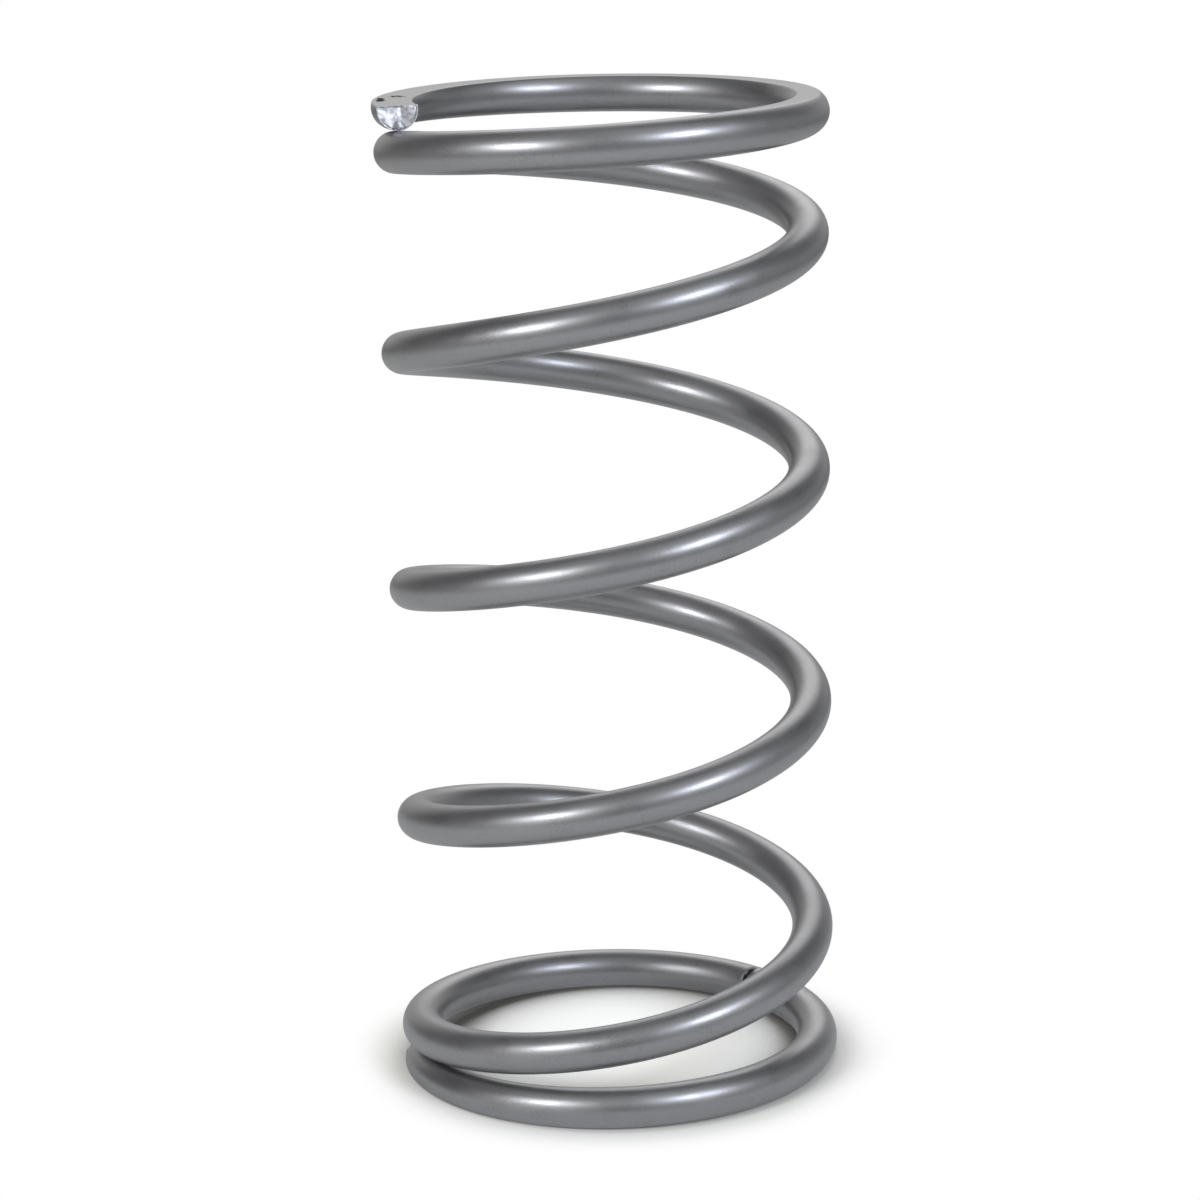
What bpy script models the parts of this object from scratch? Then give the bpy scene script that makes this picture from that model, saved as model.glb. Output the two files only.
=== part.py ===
"""Helical compression spring, wound right-handed from one round wire.

The wire is followed from the tip of the upper end turn down to the tip of the
lower one. Both end turns close onto the next coil and are ground flat, square
to +Z, and the cut wire ends are left as square tips. The coil stands on its
lower ground face, with the origin in that face's plane under the middle of
its outline.
"""

import math

import bmesh
import bpy
from mathutils import Matrix, Vector

# Overall sizes, in metres.
FREE_LENGTH = 0.2794  # between the two ground faces
OUTER_DIAMETER = 0.1258  # over the active coils
WIRE_DIAMETER = 0.0117
TOTAL_TURNS = 6.053  # tip to tip

# End turns: how far each stands out from the active coils, how deep its level
# part is ground, and how close each tip lies to the next coil.
UPPER_SPREAD = 0.0006
LOWER_SPREAD = 0.00105
UPPER_GRIND = 0.00188
LOWER_GRIND = 0.00115
LOWER_TIP_INSET = 0.0012
TIP_GAP = 0.0004

# Stretches of wire, in degrees round the coil, measured from each tip.
UPPER_CLOSED = 66.8  # level wire before the pitch starts to grow
UPPER_EASE = 626.0  # from closed to full pitch
LOWER_CLOSED = 208.5
LOWER_EASE = 303.4
TIP_BEND = 126.0  # the wire bends away to bring the tip over the next coil

# Stance: where the upper tip points, counted from -X towards +Y, and how far
# the coil's axis leans towards +Y from its two ground faces' normal.
TIP_DIRECTION = -16.1
AXIS_LEAN = 0.863

# Facets of the swept wire.
WIRE_SIDES = 18
WIRE_STATIONS = 252

COAT_COLOUR = (0.545, 0.556, 0.568, 1.0)
COAT_ROUGHNESS = 0.42
COAT_METALLIC = 0.35

WIRE_RADIUS = WIRE_DIAMETER / 2
COIL_RADIUS = OUTER_DIAMETER / 2 - WIRE_RADIUS
WIRE_ANGLE = 360 * TOTAL_TURNS
UPPER_LEVEL = FREE_LENGTH - WIRE_RADIUS + UPPER_GRIND
LOWER_LEVEL = WIRE_RADIUS - LOWER_GRIND


def smooth_step(t):
    t = min(max(t, 0.0), 1.0)
    return t * t * (3 - 2 * t)


def eased_run(t):
    """Integral of smooth_step: grows slowly at first, then one for one."""
    if t <= 0:
        return 0.0
    if t < 1:
        return t**3 - t**4 / 2
    return t - 0.5


def winding(angle):
    """Degrees of full pitch that the wire has climbed down at this angle."""
    down = UPPER_EASE * eased_run((angle - UPPER_CLOSED) / UPPER_EASE)
    left = WIRE_ANGLE - LOWER_CLOSED - angle
    full = WIRE_ANGLE - UPPER_CLOSED - LOWER_CLOSED - UPPER_EASE / 2 - LOWER_EASE / 2
    if left >= LOWER_EASE:
        return down
    return full - LOWER_EASE * eased_run(left / LOWER_EASE)


def closed_height(angle):
    """Height of the wire's centre before the tips are bent."""
    share = winding(angle) / winding(WIRE_ANGLE)
    return UPPER_LEVEL - (UPPER_LEVEL - LOWER_LEVEL) * share


def bend(distance):
    """Share of a tip's bend, from the distance in degrees to that tip."""
    return max(1 - distance / TIP_BEND, 0.0) ** 2


CLOSED_STEP = WIRE_DIAMETER + TIP_GAP
UPPER_RISE = CLOSED_STEP - closed_height(0) + closed_height(360)
LOWER_DROP = CLOSED_STEP - closed_height(WIRE_ANGLE - 360) + closed_height(WIRE_ANGLE)


def centre_height(angle):
    upper = UPPER_RISE * bend(angle)
    lower = LOWER_DROP * bend(WIRE_ANGLE - angle)
    return closed_height(angle) + upper - lower


def centre_radius(angle):
    upper = 1 - smooth_step((angle - UPPER_CLOSED) / UPPER_EASE)
    lower = 1 - smooth_step((WIRE_ANGLE - LOWER_CLOSED - angle) / LOWER_EASE)
    inset = LOWER_TIP_INSET * bend(WIRE_ANGLE - angle)
    return COIL_RADIUS + UPPER_SPREAD * upper + LOWER_SPREAD * lower - inset


def centre_point(angle):
    """Point on the wire's centre line, with the coil's lean."""
    turn = math.radians(TIP_DIRECTION + angle)
    radius = centre_radius(angle)
    flat = Vector((-radius * math.cos(turn), radius * math.sin(turn)))
    upright = Vector((flat.x, flat.y, centre_height(angle)))
    return Matrix.Rotation(-math.radians(AXIS_LEAN), 3, "X") @ upright


def section_frame(angle):
    """Frame of the wire's round section: X outwards, Z along the wire."""
    centre = centre_point(angle)
    along = (centre_point(angle + 0.05) - centre_point(angle - 0.05)).normalized()
    turn = math.radians(TIP_DIRECTION + angle)
    outward = Vector((-math.cos(turn), math.sin(turn), 0.0))
    outward = (outward - along * outward.dot(along)).normalized()
    across = along.cross(outward)
    frame = Matrix((outward, across, along)).transposed().to_4x4()
    frame.translation = centre
    return frame


def sweep_wire(mesh):
    """Extrudes one round section, station by station, along the coil."""
    frames = [
        section_frame(WIRE_ANGLE * step / WIRE_STATIONS)
        for step in range(WIRE_STATIONS + 1)
    ]
    bmesh.ops.create_circle(
        mesh, segments=WIRE_SIDES, radius=WIRE_RADIUS, matrix=frames[0]
    )
    rim = list(mesh.edges)
    bmesh.ops.edgeloop_fill(mesh, edges=rim)
    for before, after in zip(frames, frames[1:]):
        grown = bmesh.ops.extrude_edge_only(mesh, edges=rim)["geom"]
        rim = [item for item in grown if isinstance(item, bmesh.types.BMEdge)]
        points = [item for item in grown if isinstance(item, bmesh.types.BMVert)]
        rim = [edge for edge in rim if all(point in points for point in edge.verts)]
        bmesh.ops.transform(mesh, matrix=after @ before.inverted(), verts=points)
    bmesh.ops.edgeloop_fill(mesh, edges=rim)


def grind_flat(mesh, height, normal):
    """Cuts off what stands past a horizontal plane and closes the flat."""
    cut = bmesh.ops.bisect_plane(
        mesh,
        geom=mesh.verts[:] + mesh.edges[:] + mesh.faces[:],
        dist=1e-7,
        plane_co=(0, 0, height),
        plane_no=normal,
        clear_outer=True,
    )["geom_cut"]
    edges = [item for item in cut if isinstance(item, bmesh.types.BMEdge)]
    flat = bmesh.ops.edgeloop_fill(mesh, edges=edges)["faces"]
    bmesh.ops.triangulate(mesh, faces=flat, ngon_method="BEAUTY")


def centre_outline(mesh):
    """Moves the coil so that its outline seen from above is centred."""
    for axis in (0, 1):
        values = [point.co[axis] for point in mesh.verts]
        middle = (min(values) + max(values)) / 2
        for point in mesh.verts:
            point.co[axis] -= middle


def coat_material():
    material = bpy.data.materials.new("silver_powder_coat")
    material.use_nodes = True
    shader = material.node_tree.nodes["Principled BSDF"]
    shader.inputs["Base Color"].default_value = COAT_COLOUR
    shader.inputs["Roughness"].default_value = COAT_ROUGHNESS
    shader.inputs["Metallic"].default_value = COAT_METALLIC
    material.diffuse_color = COAT_COLOUR
    return material


def make_spring():
    mesh = bmesh.new()
    sweep_wire(mesh)
    grind_flat(mesh, FREE_LENGTH, (0, 0, 1))
    grind_flat(mesh, 0.0, (0, 0, -1))
    centre_outline(mesh)
    bmesh.ops.recalc_face_normals(mesh, faces=mesh.faces[:])
    data = bpy.data.meshes.new("coil_spring")
    mesh.to_mesh(data)
    mesh.free()
    data.shade_smooth()
    data.set_sharp_from_angle(angle=math.radians(35))
    data.materials.append(coat_material())
    spring = bpy.data.objects.new("coil_spring", data)
    bpy.context.scene.collection.objects.link(spring)
    return spring


for old in list(bpy.data.objects):
    bpy.data.objects.remove(old, do_unlink=True)
make_spring()
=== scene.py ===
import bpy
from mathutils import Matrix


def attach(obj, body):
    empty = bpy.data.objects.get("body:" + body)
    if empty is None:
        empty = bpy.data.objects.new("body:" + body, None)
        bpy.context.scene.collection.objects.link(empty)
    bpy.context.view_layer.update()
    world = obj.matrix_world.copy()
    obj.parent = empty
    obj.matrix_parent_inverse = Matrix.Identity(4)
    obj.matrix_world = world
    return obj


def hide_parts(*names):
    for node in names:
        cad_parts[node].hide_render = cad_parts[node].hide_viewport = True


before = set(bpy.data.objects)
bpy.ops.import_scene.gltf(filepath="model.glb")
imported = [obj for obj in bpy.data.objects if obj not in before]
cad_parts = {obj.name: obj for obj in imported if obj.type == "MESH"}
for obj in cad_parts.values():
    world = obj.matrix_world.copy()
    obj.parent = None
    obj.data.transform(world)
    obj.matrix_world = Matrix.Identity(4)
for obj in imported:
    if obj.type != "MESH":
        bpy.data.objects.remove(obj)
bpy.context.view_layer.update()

import math

import bmesh
import bpy
from mathutils import Matrix, Vector, noise

scene = bpy.context.scene
print("spring: packed frame loaded")


def linear(hexColour):
    channels = [int(hexColour[i:i + 2], 16) / 255 for i in (1, 3, 5)]
    return [c / 12.92 if c <= 0.04045 else ((c + 0.055) / 1.055) ** 2.4 for c in channels] + [1.0]


def smoothStep(low, high, value):
    t = min(max((value - low) / (high - low), 0.0), 1.0)
    return t * t * (3 - 2 * t)


def addNode(tree, kind, settings=None, links=None):
    node = tree.nodes.new(kind)
    for name, value in (settings or {}).items():
        if isinstance(name, int) or name in node.inputs:
            node.inputs[name].default_value = value
        else:
            setattr(node, name, value)
    for name, source in (links or {}).items():
        tree.links.new(source, node.inputs[name])
    return node


# The wire's run, in metres and in degrees along the coil from the upper tip.
coil = {
    "freeLength": 0.2794,
    "outerDiameter": 0.1258,
    "wireDiameter": 0.0117,
    "turns": 6.053,
    "upperSpread": 0.0006,
    "lowerSpread": 0.00105,
    "upperGrind": 0.00188,
    "lowerGrind": 0.00115,
    "lowerTipInset": 0.0012,
    "tipGap": 0.00016,
    "upperClosed": 66.8,
    "upperEase": 626.0,
    "lowerClosed": 208.5,
    "lowerEase": 303.4,
    "tipBend": 126.0,
    "tipDirection": -16.1,
    "lean": 0.863,
    "secondLift": 0.00025,  # the second turn rises a little where the tip rests on it
    "sides": 88,
    "step": 3.2,  # degrees between sections of plain wire
    "fineStep": 0.3,  # and where the surface carries a mark
    "fineSpans": [(0.0, 19.0), (352.0, 370.0), (1947.0, 1957.0), (2177.0, 2180.0)],
    "stepGrowth": 0.2,  # how fast the step widens away from such a place
    "groundEdge": 0.0002,  # the coat rounds the ground edges by about this much
}
wireRadius = coil["wireDiameter"] / 2
coilRadius = coil["outerDiameter"] / 2 - wireRadius
wireAngle = 360 * coil["turns"]
upperLevel = coil["freeLength"] - wireRadius + coil["upperGrind"]
lowerLevel = wireRadius - coil["lowerGrind"]


def easedRun(t):
    if t <= 0:
        return 0.0
    return t**3 - t**4 / 2 if t < 1 else t - 0.5


def winding(angle):
    left = wireAngle - coil["lowerClosed"] - angle
    if left >= coil["lowerEase"]:
        return coil["upperEase"] * easedRun((angle - coil["upperClosed"]) / coil["upperEase"])
    full = wireAngle - coil["upperClosed"] - coil["lowerClosed"]
    full -= (coil["upperEase"] + coil["lowerEase"]) / 2
    return full - coil["lowerEase"] * easedRun(left / coil["lowerEase"])


def closedHeight(angle):
    return upperLevel - (upperLevel - lowerLevel) * winding(angle) / winding(wireAngle)


def settledHeight(angle):
    return closedHeight(angle) + coil["secondLift"] * (1 - smoothStep(0, 80, abs(angle - 360)))


def bendShare(distance):
    return max(1 - distance / coil["tipBend"], 0.0) ** 2


closedStep = coil["wireDiameter"] + coil["tipGap"]
upperRise = closedStep - settledHeight(0) + settledHeight(360)
lowerDrop = closedStep - settledHeight(wireAngle - 360) + settledHeight(wireAngle)


def centrePoint(angle):
    left = wireAngle - angle
    radius = coilRadius - coil["lowerTipInset"] * bendShare(left)
    radius += coil["upperSpread"] * (1 - smoothStep(0, coil["upperEase"], angle - coil["upperClosed"]))
    radius += coil["lowerSpread"] * (1 - smoothStep(0, coil["lowerEase"], left - coil["lowerClosed"]))
    height = settledHeight(angle) + upperRise * bendShare(angle) - lowerDrop * bendShare(left)
    turn = math.radians(coil["tipDirection"] + angle)
    upright = Vector((-radius * math.cos(turn), radius * math.sin(turn), height))
    return Matrix.Rotation(-math.radians(coil["lean"]), 3, "X") @ upright


def sectionFrame(angle):
    along = (centrePoint(angle + 0.05) - centrePoint(angle - 0.05)).normalized()
    turn = math.radians(coil["tipDirection"] + angle)
    outward = Vector((-math.cos(turn), math.sin(turn), 0.0))
    outward = (outward - along * outward.dot(along)).normalized()
    section = Matrix((outward, along.cross(outward), along)).transposed().to_4x4()
    section.translation = centrePoint(angle)
    return section


def sectionAngles():
    angles = [0.0]
    while angles[-1] < wireAngle:
        away = min(max(low - angles[-1], angles[-1] - high, 0.0) for low, high in coil["fineSpans"])
        step = min(coil["fineStep"] + coil["stepGrowth"] * away, coil["step"])
        angles.append(min(angles[-1] + step, wireAngle))
    return angles


def sweepWire(mesh):
    frames = [sectionFrame(angle) for angle in sectionAngles()]
    bmesh.ops.create_circle(mesh, segments=coil["sides"], radius=wireRadius, matrix=frames[0])
    rims = [list(mesh.edges)]
    for before, after in zip(frames, frames[1:]):
        grown = bmesh.ops.extrude_edge_only(mesh, edges=rims[-1])["geom"]
        points = {item for item in grown if isinstance(item, bmesh.types.BMVert)}
        rims.append([
            item for item in grown
            if isinstance(item, bmesh.types.BMEdge) and points.issuperset(item.verts)
        ])
        bmesh.ops.transform(mesh, matrix=after @ before.inverted(), verts=list(points))
    return rims[0], rims[-1]


def groundHeight(height):
    # Presses what stands past a ground plane onto it, with a slightly rounded edge.
    soft, top = coil["groundEdge"], coil["freeLength"]
    if height > top - soft:
        rest = max(top + soft - height, 0.0)
        return top - rest * rest / (4 * soft)
    if height < soft:
        rest = max(height + soft, 0.0)
        return rest * rest / (4 * soft)
    return height


# Wear in the surface. Each mark runs from start to end, and all lengths are metres.
dents = [  # dark at the bottom: two chips by the upper tip and a nick low down
    {"start": (-0.0576, 0.0126, 0.2794), "end": (-0.0566, 0.0112, 0.2794), "half": 0.0021, "depth": 0.0004},
    {"start": (-0.0615, 0.0078, 0.2794), "end": (-0.0610, -0.0006, 0.2794), "half": 0.0012, "depth": 0.0003},
    {"start": (0.0405, 0.0378, 0.0099), "end": (0.0381, 0.0354, 0.0081), "half": 0.0011, "depth": 0.0007},
]
rubs = [  # worn bright where the upper tip lies on the next coil
    {"start": (-0.0550, -0.0150, 0.2722), "end": (-0.0526, -0.0185, 0.2721), "half": 0.0017, "depth": 0.00004},
]
wear = {
    "reach": 1.6,  # how far a mark is looked for, in its own half widths
    "fullAt": 0.5,  # where its slope starts and ends, in the same measure
    "goneAt": 1.2,
    "raggedness": 0.7,
    "raggedSize": 0.0012,
}


def distanceTo(mark, point):
    start, end = Vector(mark["start"]), Vector(mark["end"])
    run = end - start
    t = min(max((point - start).dot(run) / run.length_squared, 0.0), 1.0)
    return (point - start - run * t).length


def pressMarks(mesh, marks, layerName):
    layer = mesh.verts.layers.float.new(layerName)
    for mark in marks:
        reach = mark["half"] * wear["reach"]
        near = {point for point in mesh.verts if distanceTo(mark, point.co) < reach}
        edges = [edge for edge in mesh.edges if near.issuperset(edge.verts)]
        bmesh.ops.subdivide_edges(mesh, edges=edges, cuts=1, use_grid_fill=True)
    mesh.normal_update()
    moved = []
    for mark in marks:
        for point in mesh.verts:
            gap = distanceTo(mark, point.co)
            if gap < mark["half"] * wear["reach"]:
                rough = noise.noise(point.co / wear["raggedSize"])
                ragged = mark["half"] * (1 + wear["raggedness"] * rough)
                share = 1 - smoothStep(wear["fullAt"] * ragged, wear["goneAt"] * ragged, gap)
                moved.append((point, point.normal * -mark["depth"] * share))
                point[layer] = max(point[layer], share)
    for point, shift in moved:
        point.co += shift


# The sheared ends: a rolled rim, then a torn face of bare steel. Across is metres to
# the right of the wire's middle, and a lean is a slope.
tip = {
    "rings": 16,
    "rimShares": [0.98, 0.95],  # the rolled rim's two rings, as shares of the wire's section
    "faceShare": 0.93,
    "rimRoll": 0.00022,
    "faceLean": 0.1,
    "reliefFade": (0.02, 0.16),  # the relief dies out towards the rim
    "fluteWidth": 0.0031,
    "flute": 0.00003,
    "bandAt": 0.0004,
    "bandHalf": 0.0016,
    "bandLean": 0.09,
    "cornerAt": -0.0036,
    "cornerHalf": 0.0014,
    "cornerLean": 0.08,
    "turnAt": 0.001,
    "rightTurn": 0.13,
    "lump": 0.00006,
    "lumpSize": 0.0026,
}


def faceRelief(across, high, point):
    band = math.exp(-(((across - tip["bandAt"]) / tip["bandHalf"]) ** 2))
    corner = math.exp(-(((across - tip["cornerAt"]) / tip["cornerHalf"]) ** 2))
    relief = tip["flute"] * math.cos(2 * math.pi * across / tip["fluteWidth"])
    relief -= high * (tip["bandLean"] * band + tip["cornerLean"] * corner)
    relief += tip["rightTurn"] * max(across - tip["turnAt"], 0.0)
    return relief + tip["lump"] * noise.noise(point / tip["lumpSize"])


def rimPoints(rim):
    return list(dict.fromkeys(point for edge in rim for point in edge.verts))


def middleOf(points):
    return sum((point.co for point in points), Vector()) / len(points)


def closeTip(mesh, rim, outward, steel):
    points = rimPoints(rim)
    centre = middleOf(points)
    aside = Vector((-outward.y, outward.x, 0)).normalized()
    upward = aside.cross(outward)
    if upward.z < 0:
        upward = -upward
    top = max((point.co - centre).dot(upward) for point in points)
    for point in points:  # the cut leans back from its lower edge
        point.co += outward * tip["faceLean"] * (top - (point.co - centre).dot(upward))
    centre += outward * tip["faceLean"] * top
    outward = (outward + upward * tip["faceLean"]).normalized()
    shares = list(tip["rimShares"])
    shares += [tip["faceShare"] * (1 - ring / tip["rings"]) for ring in range(tip["rings"])]
    before = 1.0
    for ring, share in enumerate(shares):
        grown = bmesh.ops.extrude_edge_only(mesh, edges=rim)["geom"]
        fresh = {item for item in grown if isinstance(item, bmesh.types.BMVert)}
        rim = [
            item for item in grown
            if isinstance(item, bmesh.types.BMEdge) and fresh.issuperset(item.verts)
        ]
        for point in fresh:
            offset = point.co - centre
            offset -= outward * offset.dot(outward)
            offset *= share / before
            relief = tip["rimRoll"] if ring == 0 else 0.0
            if ring >= len(tip["rimShares"]):
                relief = faceRelief(offset.dot(aside), offset.z, centre + offset)
                relief *= smoothStep(*tip["reliefFade"], 1 - share)
            point.co = centre + offset + outward * relief
        for item in grown:
            if isinstance(item, bmesh.types.BMFace):
                item.material_index = steel
        before = share
    last = rimPoints(rim)
    bmesh.ops.pointmerge(mesh, verts=last, merge_co=middleOf(last))


def centreOutline(mesh):
    for axis in (0, 1):
        values = [point.co[axis] for point in mesh.verts]
        middle = (min(values) + max(values)) / 2
        for point in mesh.verts:
            point.co[axis] -= middle


def makeSpring():
    mesh = bmesh.new()
    upperRim, lowerRim = sweepWire(mesh)
    for point in mesh.verts:
        point.co.z = groundHeight(point.co.z)
    centreOutline(mesh)
    bmesh.ops.recalc_face_normals(mesh, faces=mesh.faces[:])
    pressMarks(mesh, dents, "dent")
    pressMarks(mesh, rubs, "rub")
    upperOut = -sectionFrame(0).to_3x3().col[2]
    lowerOut = sectionFrame(wireAngle).to_3x3().col[2]
    closeTip(mesh, upperRim, upperOut, 1)
    closeTip(mesh, lowerRim, lowerOut, 1)
    for point in mesh.verts:  # nothing stands past the ground faces
        point.co.z = min(max(point.co.z, 0.0), coil["freeLength"])
    bmesh.ops.recalc_face_normals(mesh, faces=mesh.faces[:])
    data = bpy.data.meshes.new("coatedCoil")
    mesh.to_mesh(data)
    mesh.free()
    data.shade_smooth()
    spring = bpy.data.objects.new("coatedCoil", data)
    scene.collection.objects.link(spring)
    return spring


noiseSpan = {1: 0.3, 2: 0.7}  # the part of a noise's range that it mostly fills


# Silver powder coat on steel wire: a thin cured film with aluminium flake in it.
# It gives a soft metallic sheen with broad highlights and a faint orange peel.
coat = {
    "light": "#989899",
    "dark": "#8a8a8b",
    "toneFrom": 0.75,
    "toneTo": 1.0,
    "dentColour": "#1f1e1c",
    "rubColour": "#c3c7d2",
    "metallic": 0.88,
    "smoothest": 0.32,
    "roughest": 0.405,
    "peelSize": 0.0011,  # orange peel waves of about 1 mm
    "peelDepth": 0.00012,
    "peelStrength": 0.12,
    "cloudSize": 0.012,
    "flakeSize": 0.0004,  # flake drawn coarser than its real 0.03 mm so that it shows
    "flakeWeight": 1.2,
}


def silverPowderCoat():
    material = bpy.data.materials.new("silverPowderCoat")
    material.use_nodes = True
    tree = material.node_tree
    shader = tree.nodes["Principled BSDF"]
    place = {"Vector": addNode(tree, "ShaderNodeTexCoord").outputs["Object"]}
    cloudy = {"Scale": 1 / coat["cloudSize"], "Detail": 4.0, "Roughness": 0.6}
    cloud = addNode(tree, "ShaderNodeTexNoise", cloudy, place).outputs["Fac"]
    flaky = {"Scale": 1 / coat["flakeSize"], "Detail": 1.0}
    flake = addNode(tree, "ShaderNodeTexNoise", flaky, place).outputs["Fac"]
    wavy = {"Scale": 1 / coat["peelSize"], "Detail": 2.0}
    peel = addNode(tree, "ShaderNodeTexNoise", wavy, place).outputs["Fac"]

    weigh = {"operation": "MULTIPLY_ADD", 1: coat["flakeWeight"]}
    mixed = addNode(tree, "ShaderNodeMath", weigh, {0: flake, 2: cloud})
    tone = addNode(tree, "ShaderNodeValToRGB", links={"Fac": mixed.outputs[0]})
    tone.color_ramp.elements[0].position = coat["toneFrom"]
    tone.color_ramp.elements[0].color = linear(coat["dark"])
    tone.color_ramp.elements[1].position = coat["toneTo"]
    tone.color_ramp.elements[1].color = linear(coat["light"])
    dent = addNode(tree, "ShaderNodeAttribute", {"attribute_name": "dent"}).outputs["Fac"]
    rub = addNode(tree, "ShaderNodeAttribute", {"attribute_name": "rub"}).outputs["Fac"]
    darkened = {"data_type": "RGBA", 7: linear(coat["dentColour"])}
    dented = addNode(tree, "ShaderNodeMix", darkened, {0: dent, 6: tone.outputs["Color"]})
    worn = {"data_type": "RGBA", 7: linear(coat["rubColour"])}
    rubbed = addNode(tree, "ShaderNodeMix", worn, {0: rub, 6: dented.outputs[2]})
    tree.links.new(rubbed.outputs[2], shader.inputs["Base Color"])

    span = {**noiseSpan, 3: coat["smoothest"], 4: coat["roughest"]}
    rough = addNode(tree, "ShaderNodeMapRange", span, {0: cloud})
    # The bottom of a dent is drawn near black and dull, with no flake in it.
    dull = addNode(tree, "ShaderNodeMath", {"operation": "MAXIMUM"}, {0: rough.outputs[0], 1: dent})
    tree.links.new(dull.outputs[0], shader.inputs["Roughness"])
    flaked = addNode(tree, "ShaderNodeMapRange", {3: coat["metallic"], 4: 0.0}, {0: dent})
    tree.links.new(flaked.outputs[0], shader.inputs["Metallic"])
    waves = {"Strength": coat["peelStrength"], "Distance": coat["peelDepth"]}
    bump = addNode(tree, "ShaderNodeBump", waves, {"Height": peel})
    tree.links.new(bump.outputs[0], shader.inputs["Normal"])
    return material


# Sheared spring steel: the cropped wire end is bare and bright, with fine tearing.
sheared = {
    "bright": "#e6e6e8",
    "dull": "#a8a9ac",
    "toneFrom": 0.38,
    "toneTo": 0.62,
    "metallic": 0.8,
    "roughest": 0.42,
    "smoothest": 0.33,
    "tearSize": 0.0011,  # torn ridges of about 1 mm
    "tearDepth": 0.0002,
    "tearStrength": 0.18,
}


def shearedSteel():
    material = bpy.data.materials.new("shearedSpringSteel")
    material.use_nodes = True
    tree = material.node_tree
    shader = tree.nodes["Principled BSDF"]
    place = {"Vector": addNode(tree, "ShaderNodeTexCoord").outputs["Object"]}
    torn = {"Scale": 1 / sheared["tearSize"], "Detail": 4.0, "Roughness": 0.55}
    tear = addNode(tree, "ShaderNodeTexNoise", torn, place).outputs["Fac"]
    tone = addNode(tree, "ShaderNodeValToRGB", links={"Fac": tear})
    tone.color_ramp.elements[0].position = sheared["toneFrom"]
    tone.color_ramp.elements[0].color = linear(sheared["dull"])
    tone.color_ramp.elements[1].position = sheared["toneTo"]
    tone.color_ramp.elements[1].color = linear(sheared["bright"])
    tree.links.new(tone.outputs["Color"], shader.inputs["Base Color"])
    span = {**noiseSpan, 3: sheared["roughest"], 4: sheared["smoothest"]}
    rough = addNode(tree, "ShaderNodeMapRange", span, {0: tear})
    tree.links.new(rough.outputs[0], shader.inputs["Roughness"])
    shader.inputs["Metallic"].default_value = sheared["metallic"]
    ridges = {"Strength": sheared["tearStrength"], "Distance": sheared["tearDepth"]}
    bump = addNode(tree, "ShaderNodeBump", ridges, {"Height": tear})
    tree.links.new(bump.outputs[0], shader.inputs["Normal"])
    return material


spring = makeSpring()
spring.data.materials.append(silverPowderCoat())
spring.data.materials.append(shearedSteel())
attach(spring, "root")
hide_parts("coil_spring")
print("spring: wire swept, ground and coated,", len(spring.data.polygons), "faces")


# The floor is white to the eye and keeps the shadow under the coil, partly cast by the lamps and
# partly a painted shadow close to it. Lamps light the front, and the room holds the soft bright areas that the
# coat mirrors.
studio = {
    "floorSize": 6.0,
    "cardColour": "#e6e6e4",  # the floor as the coil and the lamps see it
    "farColour": "#a0a09f",
    "cardReach": (0.4, 1.6),  # metres from the middle, as the other reaches are
    # painted light: a glow given to the floor, standing in for light bounced off it
    "floorGlow": 0.065,
    # painted shadow: the tones the camera sees on the floor near the coil, darker inside the ring than outside
    "innerShadow": "#5c5b58",  # and as the camera sees it
    "outerShadow": "#bdbcb8",
    "openColour": "#fffffa",
    "shadowReach": 0.045,
    "shadowSpan": (0.45, 0.97),
    "insideReach": (0.054, 0.064),
    "floorLift": 0.28,
    "whiteReach": (0.064, 0.083),
    "roomLevel": 0.385,
    "glows": [  # azimuth, elevation, full and faded radius in degrees, strength
        (174, 34, 3, 26, 1.45),  # the lit wall behind
        (-118, 32, 10, 48, -0.29),  # the two dark sides
        (130, 46, 8, 42, -0.27),
        (-48, 32, 8, 34, 0.36),  # spill round the lamps
        (46, 37, 8, 34, 0.36),
        (-58, 4, 6, 34, 0.24),
        (-36, 14, 3, 16, 0.35),
        (58, 68, 6, 28, 0.3),
        (-82, 60, 5, 24, 0.14),
        (-30, 85, 10, 35, -0.08),
        (4, 6, 6, 30, -0.16),
        (-158, 16, 4, 26, 0.32),
        (156, 16, 4, 22, 0.22),
    ],
    "softBoxes": [  # azimuth, distance and height in metres, width, tallness, watts, colour
        (-46, 0.95, 0.72, 0.33, 0.29, 4.1, "#f8f9ff"),
        (43.5, 1.15, 0.96, 0.40, 0.35, 7.1, "#e7eeff"),
    ],
}


def towards(azimuth, elevation):
    # Azimuth is counted from the camera's side towards +X.
    turn, rise = math.radians(azimuth), math.radians(elevation)
    return Vector((math.sin(turn) * math.cos(rise), -math.cos(turn) * math.cos(rise), math.sin(rise)))


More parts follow.
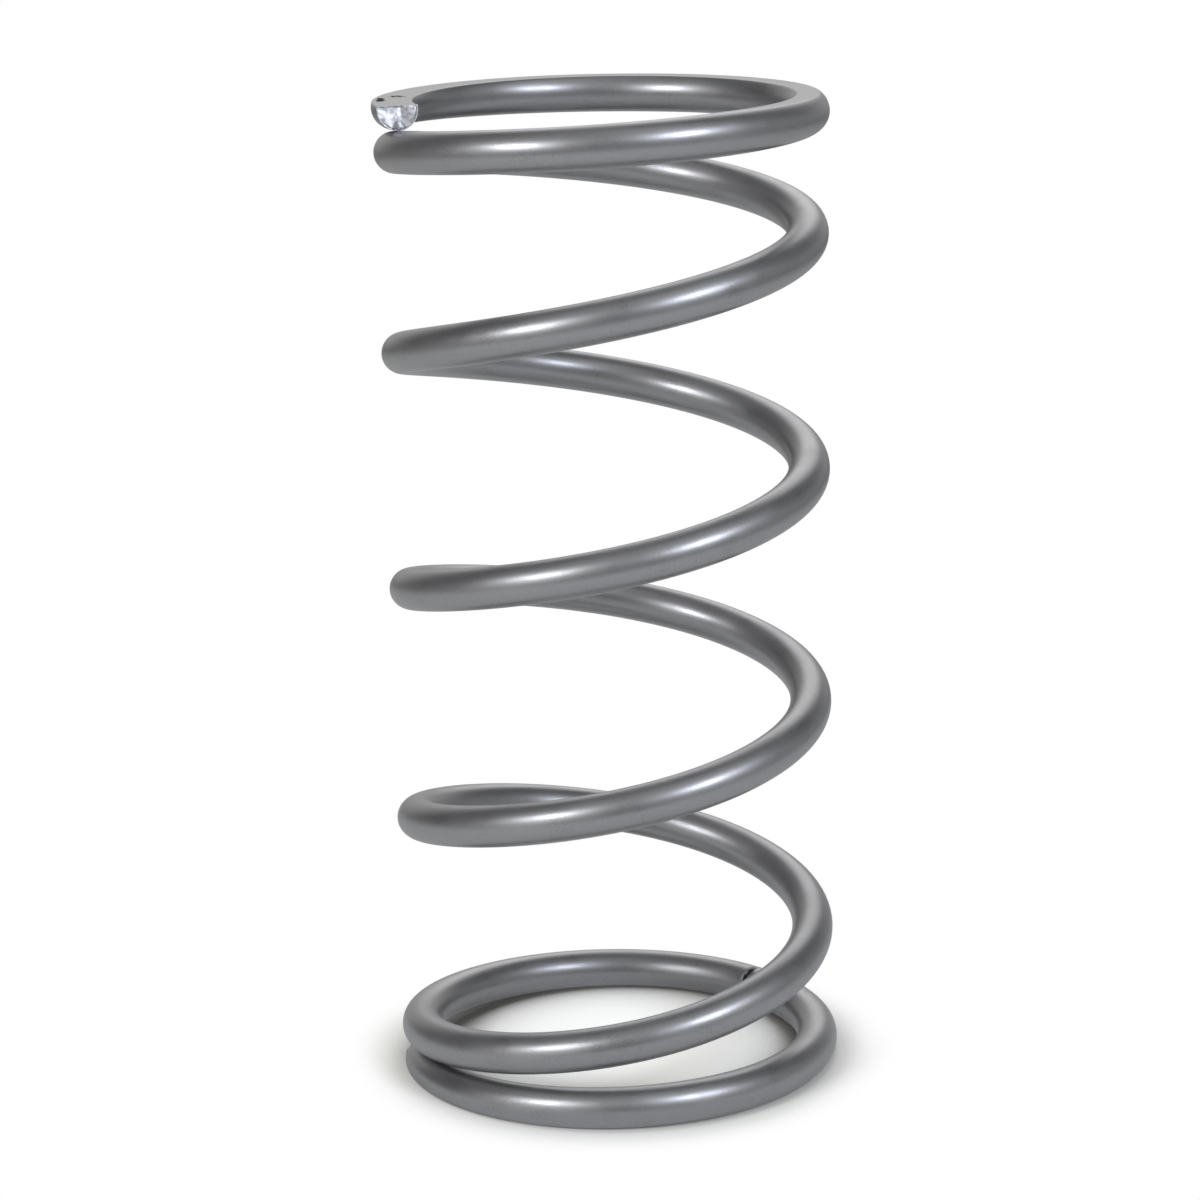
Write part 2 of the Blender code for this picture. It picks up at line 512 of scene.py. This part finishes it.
def makeFloor():
    mesh = bmesh.new()
    bmesh.ops.create_grid(mesh, x_segments=1, y_segments=1, size=studio["floorSize"] / 2)
    data = bpy.data.meshes.new("paleFloor")
    mesh.to_mesh(data)
    mesh.free()
    floor = bpy.data.objects.new("paleFloor", data)
    scene.collection.objects.link(floor)
    material = bpy.data.materials.new("paleMattePaint")
    material.use_nodes = True
    tree = material.node_tree
    tree.nodes.clear()
    place = addNode(tree, "ShaderNodeTexCoord").outputs["Object"]
    away = addNode(tree, "ShaderNodeVectorMath", {"operation": "LENGTH"}, {0: place}).outputs["Value"]
    seen = addNode(tree, "ShaderNodeLightPath").outputs["Is Camera Ray"]
    soft = {"interpolation_type": "SMOOTHSTEP"}

    nearest, furthest = studio["cardReach"]
    far = addNode(tree, "ShaderNodeMapRange", {**soft, 1: nearest, 2: furthest}, {0: away}).outputs[0]
    cards = {"data_type": "RGBA", 6: linear(studio["cardColour"]), 7: linear(studio["farColour"])}
    card = addNode(tree, "ShaderNodeMix", cards, {0: far}).outputs[2]
    paint = addNode(tree, "ShaderNodeBsdfDiffuse", links={"Color": card}).outputs[0]
    # Painted light: for every ray but the camera's the floor also glows, as a stand-in for bounced fill.
    bounce = addNode(tree, "ShaderNodeEmission", {"Strength": studio["floorGlow"]}).outputs[0]
    lit = addNode(tree, "ShaderNodeAddShader", links={0: paint, 1: bounce}).outputs[0]

    # The camera sees a whiter card with a painted close shadow, darkest where the coil hides the floor, laid
    # over the shadow the lamps cast, and plain white further out.
    reach = {"samples": 16, "Distance": studio["shadowReach"]}
    close = addNode(tree, "ShaderNodeAmbientOcclusion", reach).outputs["AO"]
    darkest, lightest = studio["shadowSpan"]
    clear = addNode(tree, "ShaderNodeMapRange", {1: darkest, 2: lightest}, {0: close}).outputs[0]
    inner, outer = studio["insideReach"]
    outside = addNode(tree, "ShaderNodeMapRange", {1: inner, 2: outer}, {0: away}).outputs[0]
    shadows = {"data_type": "RGBA", 6: linear(studio["innerShadow"]), 7: linear(studio["outerShadow"])}
    deep = addNode(tree, "ShaderNodeMix", shadows, {0: outside}).outputs[2]
    plain = {"data_type": "RGBA", 7: linear(studio["openColour"])}
    shade = addNode(tree, "ShaderNodeMix", plain, {0: clear, 6: deep}).outputs[2]
    whitest = addNode(tree, "ShaderNodeBsdfDiffuse", links={"Color": shade}).outputs[0]
    strength = {"Strength": studio["floorLift"]}
    lift = addNode(tree, "ShaderNodeEmission", strength, {"Color": shade}).outputs[0]
    lifted = addNode(tree, "ShaderNodeAddShader", links={0: whitest, 1: lift}).outputs[0]
    white = addNode(tree, "ShaderNodeEmission", {"Strength": 1.0}).outputs[0]
    shadowed, bare = studio["whiteReach"]
    fade = addNode(tree, "ShaderNodeMapRange", {**soft, 1: shadowed, 2: bare}, {0: away}).outputs[0]
    shown = addNode(tree, "ShaderNodeMixShader", links={0: fade, 1: lifted, 2: white}).outputs[0]
    chosen = addNode(tree, "ShaderNodeMixShader", links={0: seen, 1: lit, 2: shown}).outputs[0]
    addNode(tree, "ShaderNodeOutputMaterial", links={"Surface": chosen})
    data.materials.append(material)


def makeRoom():
    world = bpy.data.worlds.new("paleRoom")
    scene.world = world
    world.use_nodes = True
    tree = world.node_tree
    tree.nodes.clear()
    way = addNode(tree, "ShaderNodeTexCoord").outputs["Generated"]
    level = None
    for azimuth, elevation, full, faded, strength in studio["glows"]:
        middle = {"operation": "DOT_PRODUCT", 1: towards(azimuth, elevation)}
        near = addNode(tree, "ShaderNodeVectorMath", middle, {0: way}).outputs["Value"]
        limits = {1: math.cos(math.radians(faded)), 2: math.cos(math.radians(full)), 3: 0.0, 4: strength}
        soft = {"interpolation_type": "SMOOTHSTEP", **limits}
        glow = addNode(tree, "ShaderNodeMapRange", soft, {0: near}).outputs[0]
        total = addNode(tree, "ShaderNodeMath", {"operation": "ADD", 1: studio["roomLevel"]}, {0: glow})
        if level:
            tree.links.new(level, total.inputs[1])
        level = total.outputs[0]
    room = addNode(tree, "ShaderNodeBackground", {"Color": linear("#ffffff")}, {"Strength": level})
    white = addNode(tree, "ShaderNodeBackground", {"Color": linear("#ffffff"), "Strength": 1.0})
    seen = addNode(tree, "ShaderNodeLightPath").outputs["Is Camera Ray"]
    shown = {0: seen, 1: room.outputs[0], 2: white.outputs[0]}
    chosen = addNode(tree, "ShaderNodeMixShader", links=shown)
    addNode(tree, "ShaderNodeOutputWorld", links={"Surface": chosen.outputs[0]})


def makeSoftBoxes():
    for azimuth, away, height, width, tallness, watts, colour in studio["softBoxes"]:
        lamp = bpy.data.lights.new("softBox", "AREA")
        lamp.shape = "RECTANGLE"
        lamp.size, lamp.size_y = width, tallness
        lamp.energy = watts
        lamp.color = linear(colour)[:3]
        box = bpy.data.objects.new("softBox", lamp)
        scene.collection.objects.link(box)
        box.location = towards(azimuth, 0) * away + Vector((0, 0, height))
        facing = box.location - Vector((0, 0, coil["freeLength"] / 2))
        box.rotation_euler = facing.to_track_quat("Z", "Y").to_euler()


makeFloor()
makeRoom()
makeSoftBoxes()
print("spring: floor, room and lamps placed")


# The photograph's view: a 107 mm lens from a metre in front, looking 14 degrees down.
view = {
    "place": (-0.000222, -0.989760, 0.383180),
    "yaw": -0.0030,
    "pitch": 0.2447,
    "roll": 0.0209,
    "lens": 107.03,
}


def makeCamera():
    ahead = Vector((math.sin(view["yaw"]), math.cos(view["yaw"]), 0.0))
    aside = Vector((math.cos(view["yaw"]), -math.sin(view["yaw"]), 0.0))
    depth = ahead * math.cos(view["pitch"]) - Vector((0, 0, math.sin(view["pitch"])))
    above = ahead * math.sin(view["pitch"]) + Vector((0, 0, math.cos(view["pitch"])))
    right = aside * math.cos(view["roll"]) - above * math.sin(view["roll"])
    up = aside * math.sin(view["roll"]) + above * math.cos(view["roll"])
    lens = bpy.data.cameras.new("photoCamera")
    lens.sensor_fit = "HORIZONTAL"
    lens.sensor_width = 36.0
    lens.lens = view["lens"]
    camera = bpy.data.objects.new("photoCamera", lens)
    turned = Matrix((right, up, -depth)).transposed().to_4x4()
    camera.matrix_world = Matrix.Translation(view["place"]) @ turned
    scene.collection.objects.link(camera)
    scene.camera = camera


makeCamera()
scene.view_settings.view_transform = "Standard"
